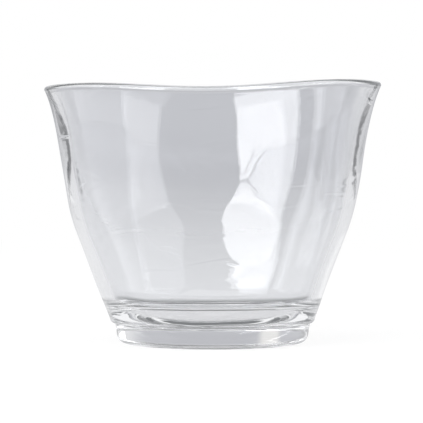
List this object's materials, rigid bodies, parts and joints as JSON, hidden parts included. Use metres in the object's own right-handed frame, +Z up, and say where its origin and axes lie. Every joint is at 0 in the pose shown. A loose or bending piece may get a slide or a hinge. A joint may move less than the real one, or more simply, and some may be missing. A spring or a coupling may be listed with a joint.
{
  "type": "water glass",
  "caption": "Low flared clear-glass tumbler with a thick wavy lip and a hand-worked wall, on a small tapered foot, for water and cold drinks.",
  "frame": {"origin": "on the table, under the middle of the foot", "axes": "+Z up, through the middle of the mouth; -Y towards the viewer; +X to the viewer's right, where the lip is highest"},
  "size_m": [0.0934, 0.0934, 0.073],
  "materials": {
    "glass": "clear, fire-polished, faintly cool"
  },
  "bodies": {
    "root": {"bowl": "glass", "foot": "glass"}
  },
  "joints": []
}
